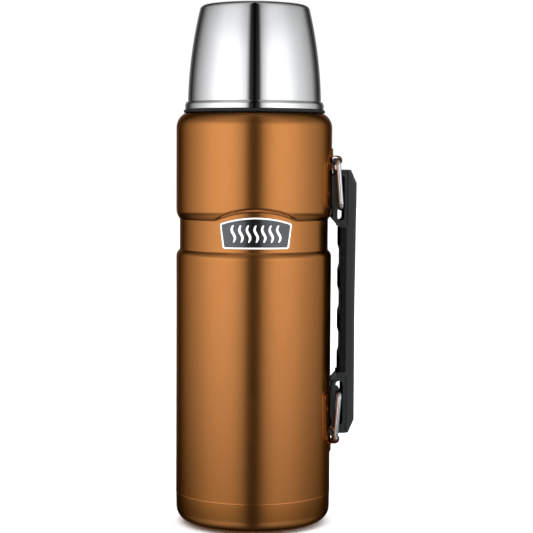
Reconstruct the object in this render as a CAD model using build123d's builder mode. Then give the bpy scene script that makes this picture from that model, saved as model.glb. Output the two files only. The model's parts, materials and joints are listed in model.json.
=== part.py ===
from build123d import *
import os
from math import asin, cos, degrees, radians, sin, tan

# A 1.2 litre vacuum flask: double steel body, screw stopper, screw cup and a folding carry handle.
# Millimetres, +Z up, origin at the middle of the foot. The badge faces -Y and the handle is on +X.

# Driving dimensions of the body
TOTAL_HEIGHT = 315.0
WALL_R = 47.0  # outside of the lower and upper body
BELT_R = 44.9  # the narrower belt that carries the badge
SHEET = 0.5  # steel sheet of every drawn shell
SEAM_Z = 18.8  # the base cup meets the outer shell here
BELT_LOW_Z = 166.7
BELT_HIGH_Z = 184.9
BULGE_SLOPE = 40.0  # degrees that the body has turned in where it meets the belt
BULGE_R = 8.0  # the wide rounding of the body above and below the belt
BELT_FILLET = 0.8
SHOULDER_Z = 239.7
SHOULDER_R = 9.9
SEAT_Z = 248.1  # flat top of the shoulder, under the cup
NECK_R = 32.5  # outside of the outer neck tube
NECK_TOP_Z = 261.5
ARCH_Y = -38.0  # the arch over the badge is a sloping plane that starts here, level with the belt
ARCH_SLOPE = 39.0
ARCH_REACH = 15.0  # how far the cutter for the arch reaches out, well past the body
ARCH_HALF_WIDTH = 30.0
NECK_FILLET = 1.0

# Base
FOOT_R = 33.7
FOOT_INNER_R = 31.0
RECESS_R = 28.5
RECESS_Z = 2.6
BASE_RISE_Z = 2.75
BASE_CORNER_R = 8.4
BOTTOM_Z = 6.0  # the vacuum bottom, hidden above the base cup
BOTTOM_FLAT_R = 36.0
BOTTOM_DISH = 5.4  # the vacuum bottom's edge is this much higher than its flat
PLUG_R = 5.0
PLUG_BOSS = 1.2  # the vacuum bottom rises this much round the plug

# Inner vessel
VESSEL_R = 42.5  # outside
VESSEL_FLOOR_Z = 10.0
VESSEL_JOIN_Z = 30.0  # the inner bottom is welded on at this height
VESSEL_SHOULDER_Z = 236.0
MOUTH_R = 28.0  # inside of the neck
MOUTH_Z = 262.0
BEAD_R = 25.0  # inside of the rolled bead that the stopper's gasket lands on
BEAD_Z = 239.5
THREAD_Z = 248.5  # the stopper's ridges start here
FOIL = 0.2
GETTER_R = 6.0
GETTER_HEIGHT = 1.75
GETTER_X = 20.0

# Screw threads: pitch is from ridge to ridge, lead is the rise in one turn
CUP_LEAD = 12.0
CUP_STARTS = 3
STOPPER_LEAD = 8.0
STOPPER_STARTS = 2
PITCH = 4.0
RIDGE_BURIED = 0.2  # a ridge's root lies this far inside its wall
RIDGE_ROOT = 1.2  # half widths of a ridge
RIDGE_CREST = 0.55
RIDGE_HEIGHT = 1.5

# Neck collar, stopper and cup
COLLAR_R = 35.6
COLLAR_TOP_Z = 260.6
STOPPER_R = 26.0
STOPPER_BOTTOM_Z = 239.0
STOPPER_TOP_Z = 275.0
GASKET_R = 26.2
CAP_FLANGE_R = 31.0
CAP_R = 28.0
CAP_FLUTES = 14
FLUTE_R = 3.2
CHANNEL_WIDTH = 11.0  # of each pouring channel
GASKET_NECK_R = 22.0
FOAM_HEIGHT = 14.0
RING_Z = 248.5
RING_R = 42.6
CUP_RIM_Z = 250.5
CUP_GROOVE_Z = 255.2
CUP_BAND_R = 41.8
CUP_WALL_R = 40.1
CUP_MID_R = 38.2  # the wall bows out a little between rim and corner
CUP_MID_Z = 282.0
CUP_TAPER = 14.0  # degrees that the wall leans in at its top
CUP_CORNER_R = 3.3
DOME_R = 30.3  # the shallow dome of the cup's end, out to its rounded corner
DOME_DROP = 2.1
LINER = 1.2
LINER_GAP = 0.1

# Folding handle: two equal wire bails hold the handle parallel to the body
WIRE_R = 1.45
BAIL_LENGTH = 28.7
BAIL_TILT = 4.3  # degrees that a folded bail leans out
BAIL_HALF_WIDTH = 14.9
BAIL_BEND_R = 3.2
WIRE_END_GAP = 1.2  # between the wire's two ends, in the middle of the end rod
UPPER_PIVOT = (49.8, 220.4)  # X and Z of each bail's pivot bar
LOWER_PIVOT = (49.5, 51.5)
HANDLE_HALF_WIDTH = 12.0
HANDLE_WALL = 1.6
HANDLE_TOP_Z = 214.8
HANDLE_BOTTOM_Z = 55.8
HANDLE_TOP_X = 61.4
HANDLE_MID_X = 60.7
HANDLE_LOW_X = 60.9
HANDLE_INNER_X = 50.8
HANDLE_CHAMFER_X = 3.5  # the sloping corners at the handle's two ends
HANDLE_CHAMFER_Z = 8.0
HANDLE_EDGE_R = 1.6
GRIP_TOP_Z = 180.5
GRIP_BOTTOM_Z = 92.5
GRIP_X = 51.7
GRIP_BACK_X = 53.0
SCALLOP_Z = (161.6, 136.0, 110.4)
SCALLOP_DEPTH = 1.3
SCALLOP_LENGTH = 15.0
EAR_X = 47.0
EAR_BACK_X = 55.5
EAR_HALF_WIDTH = 13.1
EAR_WALL = 1.9
EAR_INNER = 10.1  # from the rod's rest place to the ear's end nearer the grip
EAR_CORNER_X = 3.6
EAR_CORNER_Z = 4.2
EAR_WEB = 1.8  # of the cross wall that joins each pair of ears at the end nearer the grip
EAR_GROOVE_WIDTH = 0.6  # of the fine groove in the body beside each ear
EAR_GROOVE_DEPTH = 0.5
SLOT_WIDTH = 4.4
SLOT_INNER = 7.4
SLOT_OUTER = 19.6

# Brackets that hold the bails
BRACKET_SHEET = 0.7
BRACKET_HALF_WIDTH = 21.0
BRACKET_GAP = 0.03
BRACKET_LENGTH = 28.8  # of the plate, from the bail's pivot toward the grip
BRACKET_SHOULDER = 1.5  # from the pivot to where the plate starts to narrow
TONGUE_LENGTH = 7.2  # of the narrow end, past the pivot
TONGUE_SIDE = 3.5  # plate on each side of the hook there
BRACKET_CORNER_R = 2.5
WINDOW_LENGTH = 11.0  # of the opening that the hook was lanced from
WINDOW_DROP = 3.5
WINDOW_CORNER_R = 1.2
HOOK_HALF_WIDTH = 9.0
HOOK_GAP = 0.8  # between the hook and the wire
HOOK_TIP_ANGLE = 36.0

# Badge
BADGE_HALF_WIDTH = 21.1
BADGE_FOOT_HALF_WIDTH = 19.4
BADGE_LOW_Z = 168.9
BADGE_SIDE_Z = 183.6
BADGE_PEAK_Z = 187.2
BADGE_BORDER = 1.1
BADGE_SHEET = 0.6
BADGE_GAP = 0.03

os.makedirs("parts", exist_ok=True)


def finish(piece, label):
    """Label a finished piece and write its file."""
    piece.label = label
    export_step(piece, f"parts/{label}.step")


def tube(outer_r, inner_r, low_z, high_z):
    """A plain ring about the flask's axis."""
    with BuildPart() as plain_ring:
        with BuildSketch(Plane.XY.offset(low_z)):
            Circle(outer_r)
            Circle(inner_r, mode=Mode.SUBTRACT)
        extrude(amount=high_z - low_z)
    return plain_ring.part


def spun(*points, radius=0.0):
    """A closed R, Z outline with rounded corners, revolved about the flask's axis."""
    with BuildPart() as turned_piece:
        with BuildSketch(Plane.XZ):
            with BuildLine():
                if radius:
                    FilletPolyline(*points, radius=radius, close=True)
                else:
                    Polyline(*points, close=True)
            make_face()
        revolve(axis=Axis.Z)
    return turned_piece.part


def sheet_metal(thickness, *points, radius=0.0):
    """A drawn shell: an R, Z path with rounded bends, thickened to its left and revolved."""
    with BuildPart() as shell:
        with BuildSketch(Plane.XZ):
            with BuildLine() as wall:
                FilletPolyline(*points, radius=radius)
                offset(wall.line, amount=thickness, side=Side.LEFT)
            make_face()
        revolve(axis=Axis.Z)
    return shell.part


def ridge(wall_r, crest_r, lead, turns, start_z):
    """One helical thread ridge on a wall, starting on +X."""
    outward = 1 if crest_r > wall_r else -1
    with BuildPart() as helical_ridge:
        with BuildLine() as path:
            Helix(pitch=lead, height=lead * turns, radius=wall_r, center=(0, 0, start_z))
        section_plane = Plane(origin=path.line @ 0, x_dir=(1, 0, 0), z_dir=path.line % 0)
        with BuildSketch(section_plane):
            with BuildLine():
                Polyline(
                    (-outward * RIDGE_BURIED, -RIDGE_ROOT),
                    (crest_r - wall_r, -RIDGE_CREST),
                    (crest_r - wall_r, RIDGE_CREST),
                    (-outward * RIDGE_BURIED, RIDGE_ROOT),
                    close=True,
                )
            make_face()
        sweep(path=path.line, is_frenet=True)
    return helical_ridge.part


def spaced(piece, count, first_angle=0.0):
    """Copies of a piece, evenly spaced about the flask's axis."""
    return [piece.rotate(Axis.Z, first_angle + 360 * k / count) for k in range(count)]


def body_form(inset):
    """The body's outer form, drawn in by a sheet's thickness or by nothing."""
    wall = WALL_R - inset
    belt = BELT_R - inset
    seat = SEAT_Z - inset
    neck = NECK_R - inset
    arc_size = degrees(asin((seat - SHOULDER_Z) / (SHOULDER_R - inset)))
    turn_in = (wall - belt) / tan(radians(BULGE_SLOPE))
    belt_shift = inset * tan(radians(BULGE_SLOPE) / 2)
    arch_z = BELT_HIGH_Z + inset + inset * tan(radians(ARCH_SLOPE) / 2)
    with BuildPart() as arch:
        with BuildSketch(Plane.YZ.offset(-ARCH_HALF_WIDTH)):
            with BuildLine():
                Polyline(
                    (ARCH_Y, BELT_HIGH_Z - 1),
                    (ARCH_Y, arch_z),
                    (ARCH_Y - ARCH_REACH, arch_z + ARCH_REACH * tan(radians(ARCH_SLOPE))),
                    (ARCH_Y - ARCH_REACH, BELT_HIGH_Z - 1),
                    close=True,
                )
            make_face()
        extrude(amount=2 * ARCH_HALF_WIDTH)
        with BuildSketch(Plane.XY.offset(BELT_HIGH_Z - 2)):
            Circle(belt)
        extrude(amount=30, mode=Mode.SUBTRACT)
    with BuildPart() as form:
        with BuildSketch(Plane.XZ):
            with BuildLine():
                FilletPolyline(
                    (wall, SEAM_Z),
                    (wall, BELT_LOW_Z - belt_shift - turn_in),
                    (belt, BELT_LOW_Z - belt_shift),
                    (belt, BELT_HIGH_Z + belt_shift),
                    (wall, BELT_HIGH_Z + belt_shift + turn_in),
                    (wall, SHOULDER_Z),
                    radius=[BULGE_R - inset, BELT_FILLET + inset, BELT_FILLET + inset, BULGE_R - inset],
                )
                shoulder = CenterArc(
                    (WALL_R - SHOULDER_R, SHOULDER_Z), SHOULDER_R - inset, 0, arc_size
                )
                FilletPolyline(
                    shoulder @ 1,
                    (neck, seat),
                    (neck, NECK_TOP_Z),
                    (0, NECK_TOP_Z),
                    (0, SEAM_Z),
                    (wall, SEAM_Z),
                    radius=[NECK_FILLET + inset, 0, 0, 0],
                )
            make_face()
        revolve(axis=Axis.Z)
        add(arch.part, mode=Mode.SUBTRACT)
    return form.part


# Body: outer shell with its neck ---------------------------------------------------------------
outer_form = body_form(0)
inner_form = body_form(SHEET)
with BuildPart() as outer_shell:
    add(outer_form)
    add(inner_form, mode=Mode.SUBTRACT)
finish(outer_shell.part, "outer_shell")

# Body: base cup, hidden vacuum bottom and its sealing plug ---------------------------------------
base_cup = sheet_metal(
    SHEET,
    (0, RECESS_Z),
    (RECESS_R, RECESS_Z),
    (FOOT_INNER_R, 0),
    (FOOT_R, 0),
    (WALL_R, BASE_RISE_Z),
    (WALL_R, SEAM_Z),
    radius=[1.5, 1.5, 3.0, BASE_CORNER_R],
)
finish(base_cup, "base_cup")

vacuum_bottom_r = WALL_R - SHEET - 0.05
vacuum_bottom = sheet_metal(
    SHEET,
    (PLUG_R, BOTTOM_Z + PLUG_BOSS),
    (PLUG_R + 5 * PLUG_BOSS, BOTTOM_Z),
    (BOTTOM_FLAT_R, BOTTOM_Z),
    (vacuum_bottom_r, BOTTOM_Z + BOTTOM_DISH),
    (vacuum_bottom_r, SEAM_Z - 1),
    radius=[3.0, 4.0, 5.0],
)
finish(vacuum_bottom, "vacuum_bottom")

with BuildPart() as seal_plug:
    with BuildSketch(Plane.XY.offset(BOTTOM_Z - 1.6)):
        Circle(PLUG_R + 1.5)
    extrude(amount=1.5)
    with BuildSketch(Plane.XY.offset(BOTTOM_Z - 0.1)):
        Circle(PLUG_R - 0.1)
    extrude(amount=1.9)
    fillet(seal_plug.edges().group_by(Axis.Z)[0], 0.5)
finish(seal_plug.part, "seal_plug")

# Inner vessel: neck and wall, welded bottom, copper foil and getter ------------------------------
neck_out = MOUTH_R + SHEET
vessel_wall = sheet_metal(
    SHEET,
    (VESSEL_R, VESSEL_JOIN_Z),
    (VESSEL_R, VESSEL_SHOULDER_Z - 8),
    (neck_out, VESSEL_SHOULDER_Z),
    (neck_out, BEAD_Z - 2.4),
    (BEAD_R + SHEET, BEAD_Z),
    (neck_out, BEAD_Z + 2.4),
    (neck_out, MOUTH_Z - SHEET),
    (NECK_R, MOUTH_Z - SHEET),
    radius=[9.0, 1.2, 0.9, 0.9, 0.9, 0.6],
)
mouth_ridge = ridge(MOUTH_R, MOUTH_R - 1.4, STOPPER_LEAD, 0.9, THREAD_Z + PITCH / 2)
with BuildPart() as inner_vessel:
    add(vessel_wall)
    add(spaced(mouth_ridge, STOPPER_STARTS))
finish(inner_vessel.part, "inner_vessel")

inner_bottom = sheet_metal(
    SHEET,
    (0, VESSEL_FLOOR_Z),
    (VESSEL_R, VESSEL_FLOOR_Z),
    (VESSEL_R, VESSEL_JOIN_Z),
    radius=12.0,
)
finish(inner_bottom, "inner_bottom")

foil_r = VESSEL_R + 0.1
heat_foil = tube(foil_r + FOIL, foil_r, VESSEL_JOIN_Z + 2, VESSEL_SHOULDER_Z - 12)
finish(heat_foil, "heat_foil")

with BuildPart() as getter:
    with Locations((GETTER_X, 0, VESSEL_FLOOR_Z - 0.05 - GETTER_HEIGHT)):
        Cylinder(GETTER_R, GETTER_HEIGHT, align=(Align.CENTER, Align.CENTER, Align.MIN))
    chamfer(getter.edges().group_by(Axis.Z)[0], 0.5)
finish(getter.part, "getter")

# Body: neck collar with the cup's thread ----------------------------------------------------------
collar_ridge = ridge(COLLAR_R, COLLAR_R + RIDGE_HEIGHT, CUP_LEAD, 0.58, RING_Z + 2.5)
with BuildPart() as neck_collar:
    add(spun(
        (NECK_R + 0.05, SEAT_Z + 1.2),
        (NECK_R + 1.6, SEAT_Z + 0.02),
        (COLLAR_R, SEAT_Z + 0.02),
        (COLLAR_R, COLLAR_TOP_Z - 0.6),
        (COLLAR_R - 0.6, COLLAR_TOP_Z),
        (NECK_R + 0.05, COLLAR_TOP_Z),
    ))
    add(spaced(collar_ridge, CUP_STARTS))
finish(neck_collar.part, "neck_collar")

# Stopper: gasket, threaded body, foam, cap and cap ring --------------------------------------------
stopper_gasket = spun(
    (GASKET_NECK_R + 0.05, BEAD_Z + 1.1),
    (BEAD_R + 0.1, BEAD_Z + 1.1),
    (GASKET_R, BEAD_Z + 1.9),
    (GASKET_R, BEAD_Z + 2.9),
    (GASKET_R - 0.8, BEAD_Z + 3.9),
    (GASKET_NECK_R + 0.05, BEAD_Z + 3.9),
)
finish(stopper_gasket, "stopper_gasket")

stopper_ridge = ridge(STOPPER_R, STOPPER_R + RIDGE_HEIGHT, STOPPER_LEAD, 0.9, THREAD_Z)
cap_joint_z = MOUTH_Z + 0.4
with BuildPart() as stopper_body:
    add(spun(
        (0, STOPPER_BOTTOM_Z),
        (BEAD_R - 1.4, STOPPER_BOTTOM_Z),
        (BEAD_R - 0.6, STOPPER_BOTTOM_Z + 0.8),
        (BEAD_R - 0.6, BEAD_Z + 1.0),
        (GASKET_NECK_R, BEAD_Z + 1.0),
        (GASKET_NECK_R, BEAD_Z + 4.0),
        (STOPPER_R, BEAD_Z + 4.0),
        (STOPPER_R, cap_joint_z),
        (GASKET_NECK_R, cap_joint_z),
        (GASKET_NECK_R, BEAD_Z + 6.0),
        (0, BEAD_Z + 6.0),
    ))
    add(spaced(stopper_ridge, STOPPER_STARTS))
    # Two pouring channels let the drink past the thread once the stopper is a turn up.
    with Locations((STOPPER_R, 0, BEAD_Z + 5), (-STOPPER_R, 0, BEAD_Z + 5)):
        Box(4, CHANNEL_WIDTH, 30, align=(Align.CENTER, Align.CENTER, Align.MIN), mode=Mode.SUBTRACT)
finish(stopper_body.part, "stopper_body")

with BuildPart() as stopper_foam:
    with Locations((0, 0, BEAD_Z + 6.1)):
        Cylinder(GASKET_NECK_R - 0.2, FOAM_HEIGHT, align=(Align.CENTER, Align.CENTER, Align.MIN))
finish(stopper_foam.part, "stopper_foam")

with BuildPart() as stopper_cap:
    add(spun(
        (0, cap_joint_z - 1.8),
        (GASKET_NECK_R - 0.1, cap_joint_z - 1.8),
        (GASKET_NECK_R - 0.1, cap_joint_z + 0.05),
        (CAP_FLANGE_R - 2.4, cap_joint_z + 0.05),
        (CAP_FLANGE_R - 2.4, cap_joint_z + 0.95),
        (CAP_FLANGE_R - 0.8, cap_joint_z + 0.95),
        (CAP_FLANGE_R - 0.8, cap_joint_z + 0.05),
        (CAP_FLANGE_R, cap_joint_z + 0.6),
        (CAP_FLANGE_R, cap_joint_z + 1.8),
        (CAP_FLANGE_R - 0.8, cap_joint_z + 2.6),
        (CAP_R, cap_joint_z + 2.6),
        (CAP_R - 0.6, STOPPER_TOP_Z - 1.4),
        (CAP_R - 2.0, STOPPER_TOP_Z),
        (CAP_R - 7.0, STOPPER_TOP_Z),
        (CAP_R - 8.5, STOPPER_TOP_Z - 2.0),
        (0, STOPPER_TOP_Z - 2.6),
    ))
    # Finger flutes around the knob
    with BuildSketch(Plane.XY.offset(cap_joint_z + 3.6)):
        with PolarLocations(CAP_R + 2.0, CAP_FLUTES):
            Circle(FLUTE_R)
    extrude(amount=STOPPER_TOP_Z - cap_joint_z, mode=Mode.SUBTRACT)
finish(stopper_cap.part, "stopper_cap")

stopper_ring = tube(CAP_FLANGE_R - 0.85, CAP_FLANGE_R - 2.35, MOUTH_Z + 0.05, cap_joint_z + 0.9)
finish(stopper_ring, "stopper_ring")

# Cup: rim ring, steel shell and plastic liner -------------------------------------------------------


def cup_form(inset):
    """The cup's outer form, drawn in by the thickness of what lies outside it."""
    wall = CUP_WALL_R - inset
    wall_low_z = CUP_GROOVE_Z + 1.2
    dome_r = (DOME_R**2 + DOME_DROP**2) / (2 * DOME_DROP)
    dome_half_angle = degrees(asin(DOME_R / dome_r))
    dome_centre_z = TOTAL_HEIGHT - dome_r
    corner_reach = dome_r - CUP_CORNER_R
    corner_centre = (
        corner_reach * sin(radians(dome_half_angle)),
        dome_centre_z + corner_reach * cos(radians(dome_half_angle)),
    )
    with BuildPart() as form:
        with BuildSketch(Plane.XZ):
            with BuildLine():
                corner = CenterArc(
                    corner_centre,
                    CUP_CORNER_R - inset,
                    CUP_TAPER,
                    90 - dome_half_angle - CUP_TAPER,
                )
                CenterArc(
                    (0, dome_centre_z), dome_r - inset, 90 - dome_half_angle, dome_half_angle
                )
                ThreePointArc((wall, wall_low_z), (CUP_MID_R - inset, CUP_MID_Z), corner @ 0)
                Polyline(
                    (wall, wall_low_z),
                    (wall, CUP_GROOVE_Z - inset),
                    (wall + 0.8, CUP_GROOVE_Z - inset),
                    (CUP_BAND_R - 0.3 - inset, CUP_RIM_Z + 2.2),
                    (CUP_BAND_R - inset, CUP_RIM_Z),
                    (0, CUP_RIM_Z),
                    (0, TOTAL_HEIGHT - inset),
                )
            make_face()
        revolve(axis=Axis.Z)
    return form.part


cup_outside = cup_form(0)
cup_sheet_inside = cup_form(SHEET)
with BuildPart() as cup_shell:
    add(cup_outside)
    add(cup_sheet_inside, mode=Mode.SUBTRACT)
finish(cup_shell.part, "cup_shell")

liner_outside = cup_form(SHEET + LINER_GAP)
liner_inside = cup_form(SHEET + LINER_GAP + LINER)
liner_r = CUP_WALL_R - SHEET - LINER_GAP - LINER - 0.15
liner_ridge = ridge(liner_r, COLLAR_R + 0.8, CUP_LEAD, 0.5, RING_Z + 2.5 + PITCH / 2)
with BuildPart() as cup_liner:
    add(liner_outside)
    add(liner_inside, mode=Mode.SUBTRACT)
    add(spaced(liner_ridge, CUP_STARTS))
finish(cup_liner.part, "cup_liner")

cup_ring = spun(
    (COLLAR_R + 3.0, RING_Z),
    (RING_R, RING_Z),
    (RING_R, CUP_RIM_Z - 0.05),
    (COLLAR_R + 3.0, CUP_RIM_Z - 0.05),
    radius=0.5,
)
finish(cup_ring, "cup_ring")

# Handle: two wire bails, a channel-shaped body with slotted ears, and a finger grip ------------------


def bail(pivot, upward):
    """A rectangular wire loop from its pivot bar to the end rod; upward is 1 or -1."""
    lean = radians(BAIL_TILT)
    along = Vector(sin(lean), 0, upward * cos(lean))
    loop_plane = Plane(
        origin=(pivot[0], 0, pivot[1]), x_dir=(0, 1, 0), z_dir=Vector(0, 1, 0).cross(along)
    )
    with BuildPart() as loop:
        with BuildLine(loop_plane) as route:
            FilletPolyline(
                (WIRE_END_GAP / 2, BAIL_LENGTH),
                (BAIL_HALF_WIDTH, BAIL_LENGTH),
                (BAIL_HALF_WIDTH, 0),
                (-BAIL_HALF_WIDTH, 0),
                (-BAIL_HALF_WIDTH, BAIL_LENGTH),
                (-WIRE_END_GAP / 2, BAIL_LENGTH),
                radius=BAIL_BEND_R,
            )
        with BuildSketch(Plane(origin=route.line @ 0, z_dir=route.line % 0)):
            Circle(WIRE_R)
        sweep(path=route.line)
    return loop.part


finish(bail(UPPER_PIVOT, -1), "upper_bail")
finish(bail(LOWER_PIVOT, 1), "lower_bail")

rod_out = BAIL_LENGTH * sin(radians(BAIL_TILT))
rod_down = BAIL_LENGTH * cos(radians(BAIL_TILT))
# Each end of the handle: the rod's rest place, which way the grip lies from it, and the handle's end
upper_end = (UPPER_PIVOT[0] + rod_out, UPPER_PIVOT[1] - rod_down, -1, HANDLE_TOP_Z)
lower_end = (LOWER_PIVOT[0] + rod_out, LOWER_PIVOT[1] + rod_down, 1, HANDLE_BOTTOM_Z)


def ear_outline(rod_z, toward_grip, end_z):
    """Side outline of one pair of ears, from the handle's end to past the rod."""
    tip_z = rod_z + toward_grip * EAR_INNER
    return (
        (EAR_X, end_z + toward_grip * EAR_CORNER_Z),
        (EAR_X, tip_z - toward_grip * EAR_CORNER_Z),
        (EAR_X + EAR_CORNER_X, tip_z),
        (EAR_BACK_X - 1.0, tip_z),
        (EAR_BACK_X, tip_z - toward_grip * EAR_CORNER_Z),
        (EAR_BACK_X, end_z),
        (EAR_X + EAR_CORNER_X, end_z),
    )


with BuildPart() as handle_body:
    with BuildSketch(Plane.XZ):
        with BuildLine():
            back = ThreePointArc(
                (HANDLE_TOP_X, HANDLE_TOP_Z - HANDLE_CHAMFER_Z),
                (HANDLE_MID_X, GRIP_BOTTOM_Z + (GRIP_TOP_Z - GRIP_BOTTOM_Z) / 4),
                (HANDLE_LOW_X, HANDLE_BOTTOM_Z + HANDLE_CHAMFER_Z),
            )
            Polyline(
                back @ 1,
                (HANDLE_LOW_X - HANDLE_CHAMFER_X, HANDLE_BOTTOM_Z),
                (HANDLE_INNER_X, HANDLE_BOTTOM_Z),
                (HANDLE_INNER_X, GRIP_BOTTOM_Z),
                (GRIP_BACK_X, GRIP_BOTTOM_Z),
                (GRIP_BACK_X, GRIP_TOP_Z),
                (HANDLE_INNER_X, GRIP_TOP_Z),
                (HANDLE_INNER_X, HANDLE_TOP_Z),
                (HANDLE_TOP_X - HANDLE_CHAMFER_X, HANDLE_TOP_Z),
                back @ 0,
            )
        make_face()
    extrude(amount=HANDLE_HALF_WIDTH, both=True)
    back_edges = handle_body.edges().filter_by(
        lambda e: e.center().X > HANDLE_MID_X - 3 and abs(abs(e.center().Y) - HANDLE_HALF_WIDTH) < 0.1
    )
    fillet(back_edges, HANDLE_EDGE_R)
    with BuildSketch(Plane.XZ):
        with BuildLine():
            Polyline(*ear_outline(*upper_end[1:]), close=True)
        make_face()
        with BuildLine():
            Polyline(*ear_outline(*lower_end[1:]), close=True)
        make_face()
    extrude(amount=EAR_HALF_WIDTH, both=True)
    # The body is a channel, open toward the flask, that follows the sloping corners inside
    channel_x = HANDLE_MID_X - HANDLE_WALL
    channel_low_z = HANDLE_BOTTOM_Z + HANDLE_WALL
    channel_high_z = HANDLE_TOP_Z - HANDLE_WALL
    with BuildSketch(Plane.XZ):
        with BuildLine():
            Polyline(
                (EAR_X - 5, channel_low_z),
                (channel_x - HANDLE_CHAMFER_X, channel_low_z),
                (channel_x, channel_low_z + HANDLE_CHAMFER_Z),
                (channel_x, channel_high_z - HANDLE_CHAMFER_Z),
                (channel_x - HANDLE_CHAMFER_X, channel_high_z),
                (EAR_X - 5, channel_high_z),
                close=True,
            )
        make_face()
    extrude(amount=HANDLE_HALF_WIDTH - HANDLE_WALL, both=True, mode=Mode.SUBTRACT)
    with BuildSketch(Plane.XZ):
        with Locations((EAR_X - 5, 0)):
            Rectangle(EAR_BACK_X - EAR_X + 3.5, 600, align=(Align.MIN, Align.CENTER))
        with Locations((EAR_X - 5, (GRIP_TOP_Z + GRIP_BOTTOM_Z) / 2)):
            Rectangle(30, GRIP_TOP_Z - GRIP_BOTTOM_Z, align=(Align.MIN, Align.CENTER), mode=Mode.SUBTRACT)
    extrude(amount=EAR_HALF_WIDTH - EAR_WALL, both=True, mode=Mode.SUBTRACT)
    for _, rod_z, toward_grip, end_z in (upper_end, lower_end):
        tip_z = rod_z + toward_grip * EAR_INNER
        corner_z = tip_z - toward_grip * EAR_CORNER_Z
        web_z = tip_z - toward_grip * EAR_WEB
        # The cross wall follows the ears' sloping corner and stays clear of the slot
        with BuildSketch(Plane.XZ):
            with BuildLine():
                Polyline(
                    (EAR_X + 0.4 * EAR_WEB, corner_z),
                    (EAR_X + EAR_CORNER_X, tip_z),
                    (channel_x + HANDLE_WALL / 2, tip_z),
                    (channel_x + HANDLE_WALL / 2, web_z),
                    (EAR_X + EAR_CORNER_X + EAR_WEB / 2, web_z),
                    (EAR_X + 1.3 * EAR_WEB, corner_z),
                    close=True,
                )
            make_face()
        extrude(amount=HANDLE_HALF_WIDTH - HANDLE_WALL / 2, both=True)
        for side in (1, -1):
            with BuildSketch(Plane.XZ.offset(side * HANDLE_HALF_WIDTH)):
                with Locations((EAR_BACK_X + EAR_GROOVE_WIDTH / 2, (end_z + tip_z) / 2)):
                    Rectangle(EAR_GROOVE_WIDTH, abs(end_z - tip_z) + 1)
            extrude(amount=-side * EAR_GROOVE_DEPTH, mode=Mode.SUBTRACT)
    # Slots for the bails' end rods
    for rod_x, rod_z, toward_grip, _ in (upper_end, lower_end):
        with BuildSketch(Plane.XZ):
            with Locations((rod_x, rod_z + toward_grip * (SLOT_INNER - SLOT_OUTER) / 2)):
                SlotOverall(SLOT_INNER + SLOT_OUTER, SLOT_WIDTH, rotation=90)
        extrude(amount=EAR_HALF_WIDTH + 5, both=True, mode=Mode.SUBTRACT)
finish(handle_body.part, "handle_body")

with BuildPart() as handle_grip:
    with BuildSketch(Plane.XZ) as grip_side:
        with Locations((GRIP_X, GRIP_BOTTOM_Z + 0.05)):
            Rectangle(
                GRIP_BACK_X - GRIP_X - 0.05,
                GRIP_TOP_Z - GRIP_BOTTOM_Z - 0.1,
                align=(Align.MIN, Align.MIN),
            )
        scallop_r = (SCALLOP_LENGTH**2 / 4 + SCALLOP_DEPTH**2) / (2 * SCALLOP_DEPTH)
        with Locations([(GRIP_X + SCALLOP_DEPTH - scallop_r, z) for z in SCALLOP_Z]):
            Circle(scallop_r, mode=Mode.SUBTRACT)
    extrude(amount=HANDLE_HALF_WIDTH - 0.5, both=True)
    # A tongue behind the finger face fills the channel
    with BuildSketch(Plane.XZ):
        with Locations((GRIP_BACK_X - 0.5, GRIP_BOTTOM_Z + 0.05)):
            Rectangle(5.5, GRIP_TOP_Z - GRIP_BOTTOM_Z - 0.1, align=(Align.MIN, Align.MIN))
    extrude(amount=HANDLE_HALF_WIDTH - HANDLE_WALL - 0.05, both=True)
finish(handle_grip.part, "handle_grip")

# Brackets: a curved plate spot-welded to the body, with a hook lanced out of it over the bail --------


def bracket(pivot, outward):
    """outward is 1 when the hook curls over the bail from above and -1 when from below."""
    pivot_x, pivot_z = pivot
    plate_r = WALL_R + BRACKET_GAP
    hook_r = WIRE_R + HOOK_GAP
    hook_z = pivot_z + outward * hook_r
    far_z = pivot_z - outward * BRACKET_LENGTH
    shoulder_z = pivot_z - outward * BRACKET_SHOULDER
    tongue_z = pivot_z + outward * TONGUE_LENGTH
    tongue_half_width = HOOK_HALF_WIDTH + TONGUE_SIDE
    with BuildPart() as plate:
        with BuildSketch(Plane.YZ.offset(30)) as plate_face:
            with BuildLine():
                Polyline(
                    (-BRACKET_HALF_WIDTH, far_z),
                    (BRACKET_HALF_WIDTH, far_z),
                    (BRACKET_HALF_WIDTH, shoulder_z),
                    (tongue_half_width, tongue_z),
                    (-tongue_half_width, tongue_z),
                    (-BRACKET_HALF_WIDTH, shoulder_z),
                    close=True,
                )
            make_face()
            fillet(plate_face.vertices(), BRACKET_CORNER_R)
            # The window that the hook was lanced from
            with Locations((0, pivot_z - outward * WINDOW_DROP)):
                RectangleRounded(
                    2 * HOOK_HALF_WIDTH + 0.8, WINDOW_LENGTH, WINDOW_CORNER_R, mode=Mode.SUBTRACT
                )
        extrude(amount=30)
        add(tube(plate_r + BRACKET_SHEET, plate_r, 0, TOTAL_HEIGHT), mode=Mode.INTERSECT)
    with BuildPart() as hook:
        with BuildSketch(Plane.XZ):
            with BuildLine() as hook_line:
                Line((plate_r + 0.2, hook_z), (pivot_x, hook_z))
                CenterArc(
                    (pivot_x, pivot_z), hook_r, outward * 90, -outward * (90 + HOOK_TIP_ANGLE)
                )
                offset(
                    hook_line.line,
                    amount=BRACKET_SHEET,
                    side=Side.LEFT if outward > 0 else Side.RIGHT,
                )
            make_face()
        extrude(amount=HOOK_HALF_WIDTH, both=True)
    with BuildPart() as whole:
        add(plate.part)
        add(hook.part)
    return whole.part


finish(bracket(UPPER_PIVOT, 1), "upper_bracket")
finish(bracket(LOWER_PIVOT, -1), "lower_bracket")

# Badge: a plain dark plate in a pale frame, wrapped on the belt ----------------------------------------


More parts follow.
